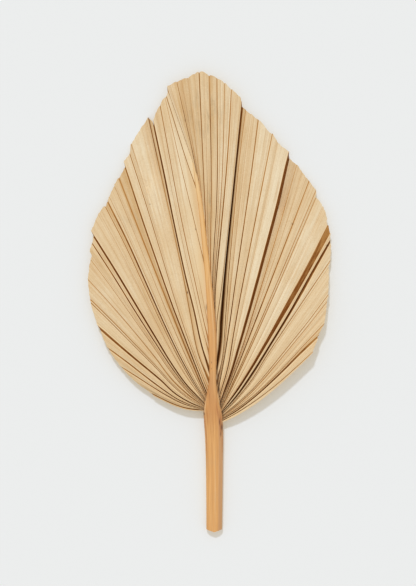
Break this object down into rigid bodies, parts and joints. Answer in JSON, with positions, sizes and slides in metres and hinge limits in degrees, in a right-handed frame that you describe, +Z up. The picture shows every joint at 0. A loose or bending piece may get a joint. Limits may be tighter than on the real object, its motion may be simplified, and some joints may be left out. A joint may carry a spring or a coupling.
{
  "type": "dried palm fan",
  "caption": "Dried palm leaf lying flat, its pleated fan blade trimmed to a pointed oval, on a short cut stalk that runs on as a curved midrib.",
  "frame": {"origin": "On the table, under the middle of the fan's outline.", "axes": "+Y up the fan, from the stalk's cut end to the blade's tip; +X to the right as the upper face is looked down on; +Z up from the table, out of the upper face."},
  "size_m": [0.2211, 0.4186, 0.015],
  "materials": {
    "leaf": "dry, matt leaf with fine parallel veins",
    "stalk": "smooth, slightly waxy dried stalk"
  },
  "bodies": {
    "root": {"blade": "leaf", "stalk": "stalk"}
  },
  "joints": []
}
